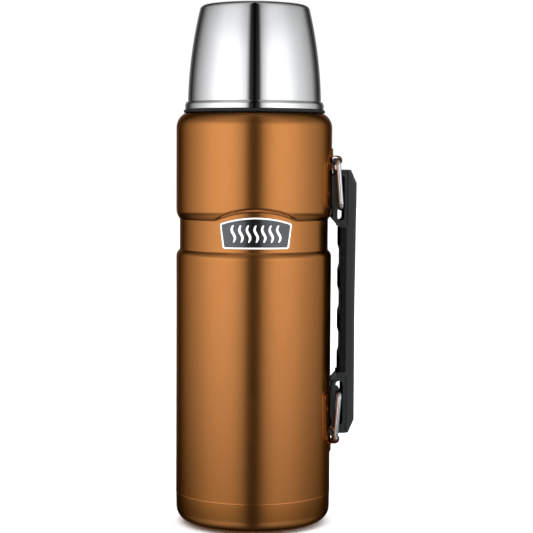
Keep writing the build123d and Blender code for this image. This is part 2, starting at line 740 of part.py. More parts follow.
def badge_form(inset, low_r, high_r):
    """The badge's outline drawn in by inset, as a shell between two radii."""
    with BuildPart() as wrapped:
        with BuildSketch(Plane.XZ.offset(30)):
            with BuildLine():
                Polyline(
                    (BADGE_HALF_WIDTH - inset, BADGE_SIDE_Z - inset * 0.8),
                    (BADGE_FOOT_HALF_WIDTH - inset, BADGE_LOW_Z + inset),
                    (-BADGE_FOOT_HALF_WIDTH + inset, BADGE_LOW_Z + inset),
                    (-BADGE_HALF_WIDTH + inset, BADGE_SIDE_Z - inset * 0.8),
                )
                ThreePointArc(
                    (-BADGE_HALF_WIDTH + inset, BADGE_SIDE_Z - inset * 0.8),
                    (0, BADGE_PEAK_Z - inset),
                    (BADGE_HALF_WIDTH - inset, BADGE_SIDE_Z - inset * 0.8),
                )
            make_face()
        extrude(amount=30)
        fillet(wrapped.edges().filter_by(Axis.Y), 1.4 - inset * 0.6)
        add(tube(high_r, low_r, BADGE_LOW_Z - 5, BADGE_PEAK_Z + 5), mode=Mode.INTERSECT)
    return wrapped.part


badge_r = BELT_R + BADGE_GAP
with BuildPart() as badge_frame:
    add(badge_form(0, badge_r, badge_r + BADGE_SHEET))
    add(badge_form(BADGE_BORDER, badge_r - 1, badge_r + BADGE_SHEET + 1), mode=Mode.SUBTRACT)
finish(badge_frame.part, "badge_frame")
finish(badge_form(BADGE_BORDER + 0.03, badge_r, badge_r + BADGE_SHEET - 0.15), "badge_plate")
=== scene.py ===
import json
from math import asin, atan2, ceil, cos, degrees, hypot, pi, radians, sin, sqrt, tan

import bmesh
import bpy
from mathutils import Matrix, Vector


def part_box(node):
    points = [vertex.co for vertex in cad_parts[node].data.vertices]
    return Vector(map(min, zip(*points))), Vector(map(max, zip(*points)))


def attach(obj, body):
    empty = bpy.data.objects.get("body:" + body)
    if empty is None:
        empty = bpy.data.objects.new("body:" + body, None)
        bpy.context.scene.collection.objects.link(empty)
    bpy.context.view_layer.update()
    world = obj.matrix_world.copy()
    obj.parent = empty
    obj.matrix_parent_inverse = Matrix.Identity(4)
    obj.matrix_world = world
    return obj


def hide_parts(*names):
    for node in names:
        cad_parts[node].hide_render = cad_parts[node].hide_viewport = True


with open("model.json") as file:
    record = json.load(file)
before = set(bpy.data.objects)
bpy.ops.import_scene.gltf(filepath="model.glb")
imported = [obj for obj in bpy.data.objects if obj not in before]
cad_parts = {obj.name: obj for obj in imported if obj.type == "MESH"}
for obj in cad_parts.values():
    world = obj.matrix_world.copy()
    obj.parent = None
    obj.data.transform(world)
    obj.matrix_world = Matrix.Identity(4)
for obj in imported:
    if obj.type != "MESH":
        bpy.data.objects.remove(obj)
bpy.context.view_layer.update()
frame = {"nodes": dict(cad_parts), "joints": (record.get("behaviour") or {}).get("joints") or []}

# A vacuum flask in copper lacquer with a mirror-polished cup and a folding carry handle.
# Lengths are in millimetres until a mesh is made. Blender itself works in metres.
MM = 0.001

# What the frame gives -----------------------------------------------------------------------------


def box_mm(node):
    """Lowest and highest corner of a CAD node, in millimetres."""
    low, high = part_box(node)
    return low / MM, high / MM


joint_at = {joint["name"]: joint for joint in frame["joints"]}
SHELL_LOW, SHELL_HIGH = box_mm("outer_shell")
CUP_LOW, CUP_HIGH = box_mm("cup_shell")
RING_LOW, RING_HIGH = box_mm("cup_ring")
BADGE_LOW, BADGE_HIGH = box_mm("badge_frame")

# Driving dimensions of the body, as in the design
WALL_R = 47.0
BELT_R = 44.9
SHEET = 0.5
SEAM_Z = SHELL_LOW.z
BELT_LOW_Z = 166.7
BELT_HIGH_Z = 184.9
BULGE_SLOPE = 40.0  # degrees that the body has turned in where it meets the belt
BULGE_R = 8.0
LOWER_BULGE_R = 5.0
BELT_FILLET = 0.8
SHOULDER_Z = 239.7
SHOULDER_R = 9.9
SEAT_Z = 248.1
NECK_R = 32.5
NECK_TOP_Z = SHELL_HIGH.z
ARCH_FRONT = 38.0  # the arch over the badge is a sloping plane that starts this far in front of the axis
ARCH_SLOPE = 39.0
ARCH_TOP_Z = 200.0  # nothing above this is cut by it
FINE_LOW_Z, FINE_HIGH_Z = 158.0, 196.0  # the mesh is fine between these, for the belt and the arch
FINE_STEP = 0.45
SMALL_GAP = 0.03  # between the body and what is fastened on it
SEGMENTS = 240  # around every turned piece

# Small helpers for shapes -------------------------------------------------------------------------


def rounded(points, radii, step=7.0):
    """A 2-D path through these points with its inner corners rounded; step is degrees per arc point."""
    path = [points[0]]
    for before, corner, after, radius in zip(points, points[1:], points[2:], radii):
        back = Vector(before) - Vector(corner)
        ahead = Vector(after) - Vector(corner)
        turn = pi - back.angle(ahead)
        if radius <= 0 or turn < 1e-4:
            path.append(corner)
            continue
        reach = radius * tan(turn / 2)
        bisector = (back.normalized() + ahead.normalized()).normalized()
        centre = Vector(corner) + bisector * (radius / cos(turn / 2))
        start = Vector(corner) + back.normalized() * reach - centre
        end = Vector(corner) + ahead.normalized() * reach - centre
        swing = start.angle_signed(end)
        count = max(2, ceil(degrees(abs(swing)) / step))
        for k in range(count + 1):
            spoke = start.copy()
            spoke.rotate(Matrix.Rotation(-swing * k / count, 2))
            path.append(tuple(centre + spoke))
    path.append(points[-1])
    return path


def arc_points(centre, radius, first, last, count):
    """Points of an arc between two angles in degrees, both ends included."""
    return [
        (
            centre[0] + radius * cos(radians(first + (last - first) * k / count)),
            centre[1] + radius * sin(radians(first + (last - first) * k / count)),
        )
        for k in range(count + 1)
    ]


def circle_through(a, b, c):
    """Centre and radius of the circle through three 2-D points."""
    ax, ay = a
    bx, by = b
    cx, cy = c
    d = 2 * (ax * (by - cy) + bx * (cy - ay) + cx * (ay - by))
    sa, sb, sc = ax * ax + ay * ay, bx * bx + by * by, cx * cx + cy * cy
    x = (sa * (by - cy) + sb * (cy - ay) + sc * (ay - by)) / d
    y = (sa * (cx - bx) + sb * (ax - cx) + sc * (bx - ax)) / d
    return (x, y), hypot(ax - x, ay - y)


def offset_path(path, amount):
    """The path moved to its left by amount."""
    moved = []
    for k, point in enumerate(path):
        before = Vector(path[max(k - 1, 0)])
        after = Vector(path[min(k + 1, len(path) - 1)])
        along = (after - before).normalized()
        moved.append((point[0] - along.y * amount, point[1] + along.x * amount))
    return moved


def finely(path, low_z, high_z, step):
    """The path with extra points, no further apart than step, between two heights."""
    fine = [path[0]]
    for a, b in zip(path, path[1:]):
        inside = max(a[1], b[1]) > low_z and min(a[1], b[1]) < high_z
        count = max(1, ceil(hypot(b[0] - a[0], b[1] - a[1]) / step)) if inside else 1
        for k in range(1, count + 1):
            fine.append((a[0] + (b[0] - a[0]) * k / count, a[1] + (b[1] - a[1]) * k / count))
    return fine


def ring_of_points(r, z, shape=None):
    """Points all the way round at one radius and height. shape(r, z, angle) may change the radius."""
    points = []
    for k in range(SEGMENTS):
        angle = 2 * pi * k / SEGMENTS
        radius = shape(r, z, angle) if shape else r
        points.append((radius * cos(angle), radius * sin(angle), z))
    return points


def turned(path):
    """Vertices and faces of a closed R, Z loop turned about the axis."""
    vertices, rows, faces = [], [], []
    for r, z in path:
        if r < 1e-6:
            rows.append([len(vertices)] * SEGMENTS)
            vertices.append((0, 0, z))
            continue
        rows.append([len(vertices) + k for k in range(SEGMENTS)])
        vertices += ring_of_points(r, z)
    for low, high in zip(rows, rows[1:] + rows[:1]):
        if low[0] == low[1] and high[0] == high[1]:
            continue
        for k in range(SEGMENTS):
            after = (k + 1) % SEGMENTS
            corners = (low[k], low[after], high[after], high[k])
            faces.append(tuple(dict.fromkeys(corners)))
    return vertices, faces


def add_object(name, data):
    made = bpy.data.objects.new(name, data)
    bpy.context.scene.collection.objects.link(made)
    return made


def mesh_object(name, vertices, faces, sharp=35.0):
    """A smooth-shaded object from millimetre vertices; edges sharper than that many degrees stay crisp."""
    mesh = bpy.data.meshes.new(name)
    mesh.from_pydata([(x * MM, y * MM, z * MM) for x, y, z in vertices], [], faces)
    tidy_mesh(mesh, sharp)
    return add_object(name, mesh)


def tidy_mesh(mesh, sharp):
    """Faces look outward and are shaded smooth, and edges sharper than that many degrees stay crisp."""
    work = bmesh.new()
    work.from_mesh(mesh)
    bmesh.ops.recalc_face_normals(work, faces=work.faces)
    work.to_mesh(mesh)
    work.free()
    mesh.polygons.foreach_set("use_smooth", [True] * len(mesh.polygons))
    mesh.set_sharp_from_angle(angle=radians(sharp))
    mesh.update()


def place(made, body, slot, material, *stands_for):
    """Gives a piece its material and its CAD body, and hides the CAD nodes that it stands for; slot is not
    used.
    """
    made.data.materials.clear()
    made.data.materials.append(material)
    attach(made, body)
    if stands_for:
        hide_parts(*stands_for)
    return made


def refined(node, width, segments=2):
    """A CAD node's shape with flat faces made whole and its edges rounded by width."""
    mesh = bpy.data.meshes.new(node + "_fine")
    work = bmesh.new()
    work.from_mesh(frame["nodes"][node].data)
    bmesh.ops.remove_doubles(work, verts=work.verts, dist=0.004 * MM)
    bmesh.ops.dissolve_limit(
        work, angle_limit=radians(0.6), use_dissolve_boundaries=False, verts=work.verts, edges=work.edges
    )
    work.to_mesh(mesh)
    work.free()
    made = add_object(node + "_fine", mesh)
    soften_edges(made, width, 30, segments)
    even_normals(made)
    return made


def soften_edges(made, width, sharp, segments):
    """Rounds the edges that are sharper than that many degrees."""
    bevel = made.modifiers.new("edges", "BEVEL")
    bevel.width = width * MM
    bevel.segments = segments
    bevel.limit_method = "ANGLE"
    bevel.angle_limit = radians(sharp)
    bevel.use_clamp_overlap = True
    bake_modifiers(made)
    tidy_mesh(made.data, 40)


def even_normals(made):
    """Lets flat faces stay flat beside their rounded edges."""
    weigh = made.modifiers.new("normals", "WEIGHTED_NORMAL")
    weigh.keep_sharp = True
    bake_modifiers(made)


def bake_modifiers(made):
    """Gives the object the mesh that its modifiers make, and removes them."""
    graph = bpy.context.evaluated_depsgraph_get()
    final = bpy.data.meshes.new_from_object(made.evaluated_get(graph), depsgraph=graph)
    made.modifiers.clear()
    made.data = final


def strips_between(count, rings):
    """Quads that join rings of count vertices each, numbered in order, into one closed tube."""
    faces = []
    for a, b in zip(rings, rings[1:] + rings[:1]):
        for k in range(count):
            after = (k + 1) % count
            faces.append((a * count + k, a * count + after, b * count + after, b * count + k))
    return faces


# Materials ----------------------------------------------------------------------------------------


def material(name, colour, metallic, roughness, **sockets):
    """A Principled material; its textures are added by the functions below."""
    made = bpy.data.materials.new(name)
    made.use_nodes = True
    shader = made.node_tree.nodes["Principled BSDF"]
    shader.inputs["Base Color"].default_value = (*colour, 1)
    shader.inputs["Metallic"].default_value = metallic
    shader.inputs["Roughness"].default_value = roughness
    for socket, value in sockets.items():
        shader.inputs[socket.replace("_", " ")].default_value = value
    return made


def link(made, source, target):
    made.node_tree.links.new(source, target)


def shader_input(made, name):
    return made.node_tree.nodes["Principled BSDF"].inputs[name]


def around_axis(made, along, upward, outward):
    """Coordinates that run round the flask's axis, so that a noise can be drawn out into turned lines."""
    nodes = made.node_tree.nodes
    place_in = nodes.new("ShaderNodeTexCoord")
    parts = nodes.new("ShaderNodeSeparateXYZ")
    link(made, place_in.outputs["Object"], parts.inputs[0])
    angle = nodes.new("ShaderNodeMath")
    angle.operation = "ARCTAN2"
    link(made, parts.outputs["Y"], angle.inputs[0])
    link(made, parts.outputs["X"], angle.inputs[1])
    flat = nodes.new("ShaderNodeCombineXYZ")
    link(made, parts.outputs["X"], flat.inputs["X"])
    link(made, parts.outputs["Y"], flat.inputs["Y"])
    distance = nodes.new("ShaderNodeVectorMath")
    distance.operation = "LENGTH"
    link(made, flat.outputs[0], distance.inputs[0])
    together = nodes.new("ShaderNodeCombineXYZ")
    for source, factor, target in (
        (angle.outputs[0], along, "X"),
        (parts.outputs["Z"], upward, "Y"),
        (distance.outputs["Value"], outward, "Z"),
    ):
        scaled = nodes.new("ShaderNodeMath")
        scaled.operation = "MULTIPLY"
        scaled.inputs[1].default_value = factor
        link(made, source, scaled.inputs[0])
        link(made, scaled.outputs[0], together.inputs[target])
    return together.outputs[0]


def noise(made, scale, detail=3.0, coordinates=None):
    """A noise value over the surface; scale is in repeats per metre."""
    nodes = made.node_tree.nodes
    if coordinates is None:
        coordinates = nodes.new("ShaderNodeTexCoord").outputs["Object"]
    texture = nodes.new("ShaderNodeTexNoise")
    texture.inputs["Scale"].default_value = scale
    texture.inputs["Detail"].default_value = detail
    link(made, coordinates, texture.inputs["Vector"])
    return texture.outputs[0]


def cells(made, scale):
    """A random value for each small cell, as in metal flakes or moulded grain."""
    nodes = made.node_tree.nodes
    texture = nodes.new("ShaderNodeTexVoronoi")
    texture.inputs["Scale"].default_value = scale
    link(made, nodes.new("ShaderNodeTexCoord").outputs["Object"], texture.inputs["Vector"])
    return texture.outputs["Distance"]


def vary_roughness(made, value, low, high):
    span = made.node_tree.nodes.new("ShaderNodeMapRange")
    span.inputs["From Min"].default_value = 0.3
    span.inputs["From Max"].default_value = 0.7
    span.inputs["To Min"].default_value = low
    span.inputs["To Max"].default_value = high
    link(made, value, span.inputs["Value"])
    link(made, span.outputs["Result"], shader_input(made, "Roughness"))


def vary_colour(made, value, dark, light):
    ramp = made.node_tree.nodes.new("ShaderNodeValToRGB")
    ramp.color_ramp.elements[0].position = 0.3
    ramp.color_ramp.elements[0].color = (*dark, 1)
    ramp.color_ramp.elements[1].position = 0.7
    ramp.color_ramp.elements[1].color = (*light, 1)
    link(made, value, ramp.inputs[0])
    link(made, ramp.outputs["Color"], shader_input(made, "Base Color"))


def relief(made, value, height, strength=1.0):
    """Surface relief of this height in millimetres."""
    bump = made.node_tree.nodes.new("ShaderNodeBump")
    bump.inputs["Distance"].default_value = height * MM
    bump.inputs["Strength"].default_value = strength
    link(made, value, bump.inputs["Height"])
    link(made, bump.outputs["Normal"], shader_input(made, "Normal"))


def scaled_colour(colour, factor):
    return tuple(min(1.0, channel * factor) for channel in colour)


def copper_lacquer():
    """Clear lacquer over metal flake."""
    colour = (0.57, 0.221, 0.057)
    made = material("copper_lacquer", colour, 1.0, 0.27, Coat_Weight=0.3, Coat_Roughness=0.04, Coat_IOR=1.45)
    shader_input(made, "Specular Tint").default_value = (0.8, 0.42, 0.16, 1)
    flake = cells(made, 5500)
    vary_colour(made, flake, scaled_colour(colour, 0.93), scaled_colour(colour, 1.08))
    vary_roughness(made, noise(made, 60, 1.0), 0.252, 0.268)
    relief(made, flake, 0.004, 0.25)
    return made


def mirror_steel():
    """Polished steel with the faint turned lines that a buffing wheel leaves."""
    made = material("mirror_steel", (0.92, 0.93, 0.94), 1.0, 0.05)
    lines = noise(made, 1.0, 4.0, around_axis(made, 3.0, 2600.0, 2600.0))
    vary_roughness(made, lines, 0.02, 0.05)
    relief(made, lines, 0.0006, 0.3)
    return made


def satin_steel():
    """Electropolished inner steel with fine turned brushing."""
    made = material("satin_steel", (0.66, 0.65, 0.63), 1.0, 0.28, Anisotropic=0.5)
    lines = noise(made, 1.0, 5.0, around_axis(made, 6.0, 4200.0, 4200.0))
    vary_roughness(made, lines, 0.22, 0.36)
    relief(made, lines, 0.004, 0.5)
    return made


def moulded(name, colour, roughness, grain_scale, grain_height, **sockets):
    """Moulded plastic or rubber: spark-eroded grain, and slight cloudiness in tone and gloss."""
    made = material(name, colour, 0.0, roughness, **sockets)
    vary_colour(made, noise(made, 45, 4.0), scaled_colour(colour, 0.88), scaled_colour(colour, 1.12))
    vary_roughness(made, noise(made, 140, 4.0), roughness - 0.05, roughness + 0.06)
    relief(made, noise(made, grain_scale, 2.0), grain_height, 0.6)
    return made


def crumpled_foil():
    made = material("crumpled_foil", (0.8, 0.42, 0.24), 1.0, 0.2)
    creases = cells(made, 160)
    vary_roughness(made, creases, 0.14, 0.32)
    relief(made, creases, 0.4, 0.7)
    return made


def powder_metal():
    made = material("powder_metal", (0.34, 0.34, 0.36), 0.7, 0.6)
    grains = cells(made, 2600)
    vary_colour(made, grains, (0.24, 0.24, 0.26), (0.42, 0.42, 0.44))
    relief(made, grains, 0.06, 0.8)
    return made


def closed_foam():
    made = material("closed_foam", (0.78, 0.74, 0.62), 0.0, 0.85)
    bubbles = cells(made, 900)
    vary_colour(made, bubbles, (0.66, 0.62, 0.5), (0.82, 0.79, 0.68))
    relief(made, bubbles, 0.3, 0.8)
    return made


def drawn_wire():
    """Chromed wire, with drawing lines along it."""
    made = material("drawn_wire", (0.8, 0.81, 0.83), 1.0, 0.22)
    shader_input(made, "Specular Tint").default_value = (0.1, 0.1, 0.11, 1)
    vary_roughness(made, noise(made, 900, 3.0), 0.18, 0.26)
    relief(made, noise(made, 1500, 2.0), 0.003, 0.4)
    return made


def enamel(name, dark, light, metallic, roughness):
    """Badge enamel, slightly cloudy."""
    made = material(name, light, metallic, roughness, Coat_Weight=0.5, Coat_Roughness=0.06)
    vary_colour(made, noise(made, 120, 4.0), dark, light)
    relief(made, noise(made, 700, 3.0), 0.005, 0.4)
    return made


COPPER = copper_lacquer()
MIRROR = mirror_steel()
SATIN = satin_steel()
HANDLE_PLASTIC = moulded("handle_plastic", (0.014, 0.0165, 0.017), 0.38, 2400, 0.02, Specular_IOR_Level=0.4)
GRIP_RUBBER = moulded("grip_rubber", (0.004, 0.0042, 0.0045), 0.6, 3200, 0.04, Specular_IOR_Level=0.12)
RING_PLASTIC = moulded("ring_plastic", (0.01, 0.0105, 0.011), 0.36, 2000, 0.012, Specular_IOR_Level=0.3)
STOPPER_PLASTIC = moulded("stopper_plastic", (0.034, 0.035, 0.037), 0.42, 2200, 0.02)
LINER_PLASTIC = moulded("liner_plastic", (0.09, 0.09, 0.095), 0.4, 1800, 0.012)
SILICONE = moulded("silicone", (0.62, 0.62, 0.6), 0.42, 1500, 0.01, Subsurface_Weight=0.15)
FOIL = crumpled_foil()
GETTER = powder_metal()
FOAM = closed_foam()
WIRE = drawn_wire()
BADGE_DARK = enamel("badge_dark", (0.07, 0.075, 0.08), (0.085, 0.091, 0.098), 0.9, 0.12)
BADGE_PALE = enamel("badge_pale", (0.86, 0.86, 0.85), (0.93, 0.93, 0.92), 0.0, 0.25)

# CAD nodes that keep their shape get their material here
NODE_MATERIALS = {
    "outer_shell": COPPER,
    "base_cup": COPPER,
    "vacuum_bottom": SATIN,
    "seal_plug": SATIN,
    "inner_vessel": SATIN,
    "inner_bottom": SATIN,
    "heat_foil": FOIL,
    "getter": GETTER,
    "neck_collar": RING_PLASTIC,
    "upper_bracket": COPPER,
    "lower_bracket": COPPER,
    "badge_frame": BADGE_PALE,
    "badge_plate": BADGE_DARK,
    "stopper_gasket": SILICONE,
    "stopper_body": STOPPER_PLASTIC,
    "stopper_foam": FOAM,
    "stopper_cap": STOPPER_PLASTIC,
    "stopper_ring": SILICONE,
    "cup_ring": RING_PLASTIC,
    "cup_shell": MIRROR,
    "cup_liner": LINER_PLASTIC,
    "upper_bail": WIRE,
    "lower_bail": WIRE,
    "handle_body": HANDLE_PLASTIC,
    "handle_grip": GRIP_RUBBER,
}
for node, finish in NODE_MATERIALS.items():
    mesh = frame["nodes"][node].data
    mesh.materials.clear()
    mesh.materials.append(finish)

# Body shell: one drawn sheet from the base seam to the neck ---------------------------------------


def soft_ramp(x, softness):
    """0 below 0 and x above it, with the corner rounded over plus or minus softness."""
    if x <= -softness:
        return 0.0
    if x >= softness:
        return x
    return (x + softness) ** 2 / (4 * softness)


def with_arch(wall_offset):
    """How the arch over the badge cuts into a wall that lies wall_offset inside the outer one."""
    belt = BELT_R - wall_offset

    def shape(r, z, angle):
        bulge = r - belt
        frontward = -sin(angle)  # 1 at the front and 0 at the sides
        if z < BELT_HIGH_Z - 1 or z > ARCH_TOP_Z or bulge < 0.02 or frontward < 0.5:
            return r
        plane_front = ARCH_FRONT - wall_offset + (z - BELT_HIGH_Z) / tan(radians(ARCH_SLOPE))
        past = (r - plane_front / frontward) / bulge
        softness = 0.3
        return r - bulge * (soft_ramp(past, softness) - soft_ramp(past - 1, softness))

    return shape


def body_shell():
    lip = 0.07  # the sheet flares a little just above the seam
    turn_in = (WALL_R - BELT_R) / tan(radians(BULGE_SLOPE))
    wall = rounded(
        [
            (WALL_R - 0.1, SEAM_Z),
            (WALL_R + lip, SEAM_Z + 0.15),
            (WALL_R, SEAM_Z + 0.65),
            (WALL_R, BELT_LOW_Z - turn_in),
            (BELT_R, BELT_LOW_Z),
            (BELT_R, BELT_HIGH_Z),
            (WALL_R, BELT_HIGH_Z + turn_in),
            (WALL_R, SHOULDER_Z),
        ],
        [0.3, 2.0, LOWER_BULGE_R, BELT_FILLET, BELT_FILLET, BULGE_R],
        step=4.0,
    )
    rise = degrees(asin((SEAT_Z - SHOULDER_Z) / SHOULDER_R))
    shoulder = arc_points((WALL_R - SHOULDER_R, SHOULDER_Z), SHOULDER_R, 0, rise, 14)[1:]
    neck = rounded([(NECK_R + 6, SEAT_Z), (NECK_R, SEAT_Z), (NECK_R, NECK_TOP_Z)], [1.2])
    outer = finely(wall + shoulder + neck, FINE_LOW_Z, FINE_HIGH_Z, FINE_STEP)
    inner = offset_path(outer, SHEET)
    vertices = []
    for path, shape in ((outer, with_arch(0)), (inner, with_arch(SHEET))):
        for r, z in path:
            vertices += ring_of_points(r, z, shape)
    count = len(outer)
    rings = list(range(count)) + list(range(2 * count - 1, count - 1, -1))
    return mesh_object("body_shell", vertices, strips_between(SEGMENTS, rings))


place(body_shell(), "root", "copper_paint", COPPER, "outer_shell")


def base_cup():
    """The base: a recess, the ring that it stands on, a wide corner and a wall up to the seam."""
    recess_z = 2.6
    foot_inner_r = 31.0
    foot_outer_r = 33.7
    corner_z = 2.75  # where the rising foot and the wall would meet
    top_z = SEAM_Z - 0.05
    outer = rounded(
        [
            (0, recess_z),
            (foot_inner_r - 2.5, recess_z),
            (foot_inner_r, 0.0),
            (foot_outer_r, 0.0),
            (WALL_R - 0.45, corner_z),
            (WALL_R - 0.05, top_z),
            (WALL_R - 0.4, top_z),
        ],
        [1.5, 1.5, 3.0, 8.4, 0.12],
        step=5.0,
    )
    inner = [(max(r, 0.0), z) for r, z in offset_path(outer[:-3], SHEET)]
    inner[0] = (0.0, recess_z + SHEET)
    inner.append((WALL_R - SHEET, top_z))
    return mesh_object("base_shell", *turned(outer + inner[::-1]))


place(base_cup(), "root", "copper_paint", COPPER, "base_cup")

# Cup ----------------------------------------------------------------------------------------------


def cup_profile():
    """The cup's outside from its rim to the middle of its end."""
    top_z = CUP_HIGH.z
    groove_z = 255.2
    wall_r = 40.1
    wall_middle = (38.2, 282.0)
    taper = 14.0
    corner_r = 3.3
    dome_edge, dome_drop = 30.3, 2.1
    dome_r = (dome_edge**2 + dome_drop**2) / (2 * dome_drop)
    half_angle = degrees(asin(dome_edge / dome_r))
    corner_centre = (
        (dome_r - corner_r) * sin(radians(half_angle)),
        top_z - dome_r + (dome_r - corner_r) * cos(radians(half_angle)),
    )
    corner = arc_points(corner_centre, corner_r, taper, 90 - half_angle, 12)
    wall_low = (wall_r, groove_z + 0.9)
    centre, bow_r = circle_through(wall_low, wall_middle, corner[0])
    first = degrees(atan2(wall_low[1] - centre[1], wall_low[0] - centre[0]))
    last = degrees(atan2(corner[0][1] - centre[1], corner[0][0] - centre[0]))
    wall = arc_points(centre, bow_r, first, last, 24)
    dome = arc_points((0, top_z - dome_r), dome_r, 90 - half_angle, 90, 10)
    rim_r = CUP_HIGH.x
    band = rounded(
        [
            (rim_r - 0.5, CUP_LOW.z),
            (rim_r, CUP_LOW.z),
            (rim_r, groove_z - 1.6),
            (wall_r + 0.9, groove_z - 0.1),
            (wall_r + 0.05, groove_z - 0.1),
            (wall_r - 0.05, groove_z + 0.35),
        ],
        [0.35, 2.2, 0.25, 0.12],
        step=8.0,
    )
    return band + wall[:-1] + corner[:-1] + dome[:-1] + [(0.0, top_z)]


def polished_cup():
    outer = cup_profile()
    inner = offset_path(outer, SHEET)
    inner = [(max(r, 0.0), z) for r, z in inner]
    inner[-1] = (0.0, CUP_HIGH.z - SHEET)
    inner[0] = (CUP_HIGH.x - 0.5 - 0.02, CUP_LOW.z + SHEET)
    return mesh_object("polished_cup", *turned(outer + inner[::-1]), sharp=28.0)


place(polished_cup(), "cup", "polished_steel", MIRROR, "cup_shell")


def cup_trim():
    """The moulded ring under the cup's rim."""
    inner_r = 38.6
    ring_r = RING_HIGH.x
    low, high = RING_LOW.z, RING_HIGH.z
    middle = (low + high) / 2
    loop = rounded(
        [
            (inner_r, middle),
            (inner_r, low),
            (ring_r, low),
            (ring_r, high),
            (inner_r, high),
            (inner_r, middle),
        ],
        [0.3, 0.75, 0.75, 0.3],
        step=9.0,
    )
    return mesh_object("cup_trim", *turned(loop[:-1]))


place(cup_trim(), "cup_carrier", "black_plastic", RING_PLASTIC, "cup_ring")

# Badge: a pale frame round a dark plate with a row of plain wavy strokes --------------------------


def badge_outline(inset):
    """The outline in X, Z, drawn in by inset: an arched top, sides that lean in and rounded corners."""
    half = BADGE_HIGH.x - inset
    foot_half = half - 1.7
    low = BADGE_LOW.z + inset
    side_z = BADGE_HIGH.z - 3.6 - inset * 0.8
    peak = BADGE_HIGH.z - inset
    centre, radius = circle_through((-half, side_z), (0, peak), (half, side_z))
    edge = degrees(atan2(side_z - centre[1], half))
    steps = 24
    top = arc_points(centre, radius, edge, 180 - edge, steps)
    corner = 1.4 - inset * 0.5
    flat = 12
    reach = foot_half - 2
    foot = [(reach * k / flat, low) for k in range(1, flat + 1)]
    other_foot = [(-x, z) for x, z in reversed(foot)]
    loop = rounded(
        [(0, low), *foot, (foot_half, low), *top, (-foot_half, low), *other_foot, (0, low)],
        [0] * flat + [corner, corner] + [0] * (steps - 1) + [corner, corner] + [0] * flat,
        step=15.0,
    )
    return loop[:-1]


def wrap(x, z, radius):
    """A point of the badge's flat drawing, laid on a cylinder about the flask's axis, facing -Y."""
    return (x, -sqrt(radius * radius - x * x), z)


def badge_border():
    """A frame with a softly crowned face."""
    width = 0.9
    shoulder = 0.14
    low, middle, high = 0.42, 0.58, 0.62  # heights of the crowned face over the belt
    section = [
        (0, 0),
        (0, low),
        (shoulder, middle),
        (width / 2, high),
        (width - shoulder, middle),
        (width, low),
        (width, 0),
    ]
    rows = []
    for inset, lift in section:
        rows.append([wrap(x, z, BELT_R + SMALL_GAP + lift) for x, z in badge_outline(inset)])
    vertices = [point for row in rows for point in row]
    faces = strips_between(len(rows[0]), list(range(len(rows))))
    return mesh_object("badge_border", vertices, faces, sharp=50)


def wrapped_slab(name, outlines, low_r, high_r, edge):
    """Flat X, Z outlines made into curved slabs between two radii, with their edges rounded."""
    strip = 1.0  # width of the flat strips that follow the curve
    work = bmesh.new()
    for outline in outlines:
        work.faces.new([work.verts.new((x, 0, z)) for x, z in outline])
    reach = max(abs(x) for outline in outlines for x, z in outline)
    for k in range(-int(reach / strip), int(reach / strip) + 1):
        bmesh.ops.bisect_plane(
            work,
            geom=work.verts[:] + work.edges[:] + work.faces[:],
            plane_co=(k * strip + 0.001, 0, 0),
            plane_no=(1, 0, 0),
        )
    lifted = bmesh.ops.extrude_face_region(work, geom=work.faces[:])["geom"]
    for part in lifted:
        if isinstance(part, bmesh.types.BMVert):
            part.co.y = 1
    for vertex in work.verts:
        radius = high_r if vertex.co.y > 0.5 else low_r
        vertex.co = Vector(wrap(vertex.co.x, vertex.co.z, radius)) * MM
    bmesh.ops.recalc_face_normals(work, faces=work.faces)
    mesh = bpy.data.meshes.new(name)
    work.to_mesh(mesh)
    work.free()
    slab = add_object(name, mesh)
    soften_edges(slab, edge, 50, 2)
    even_normals(slab)
    return slab


def wavy_stroke(centre_x, low_z, high_z, sway, half_width):
    """A rising stroke that sways once each way, like warm air over a cup."""
    steps = 20
    left, right = [], []
    for k in range(steps + 1):
        share = k / steps
        x = centre_x + sway * sin(2 * pi * share)
        slope = sway * 2 * pi * cos(2 * pi * share) / (high_z - low_z)
        z = low_z + (high_z - low_z) * share
        tilt = hypot(1, slope)
        taper = half_width * (0.35 + 0.65 * sin(pi * share) ** 0.5)
        left.append((x - taper / tilt, z + taper * slope / tilt))
        right.append((x + taper / tilt, z - taper * slope / tilt))
    return right + left[::-1]


PLATE_TOP_R = BELT_R + 0.45
PLATE_INSET = 0.88  # the plate's edge lies just under the frame
STROKE_LOW_Z = BADGE_LOW.z + 3.9
STROKE_HIGH_Z = BADGE_HIGH.z - 4.5
STROKE_PLACES = (-13.2, -8.8, -4.4, 0, 4.4, 8.8, 13.2)
STROKE_SWAY = 0.95
STROKE_HALF_WIDTH = 0.74


def badge_field():
    return wrapped_slab("badge_field", [badge_outline(PLATE_INSET)], BELT_R + SMALL_GAP, PLATE_TOP_R, 0.03)


def badge_strokes():
    """Seven strokes in a row, a little proud of the plate."""
    strokes = [
        wavy_stroke(x, STROKE_LOW_Z, STROKE_HIGH_Z, STROKE_SWAY, STROKE_HALF_WIDTH) for x in STROKE_PLACES
    ]
    return wrapped_slab("badge_strokes", strokes, PLATE_TOP_R - 0.05, PLATE_TOP_R + 0.12, 0.04)


place(badge_border(), "root", "badge_pale", BADGE_PALE, "badge_frame")
place(badge_field(), "root", "badge_dark", BADGE_DARK, "badge_plate")
place(badge_strokes(), "root", "badge_pale", BADGE_PALE)

# Brackets, with the spot welds that hold them -----------------------------------------------------

BRACKET_SHEET = 0.7
WELD_INSET_Y = 4.2
WELD_INSET_Z = 9.0


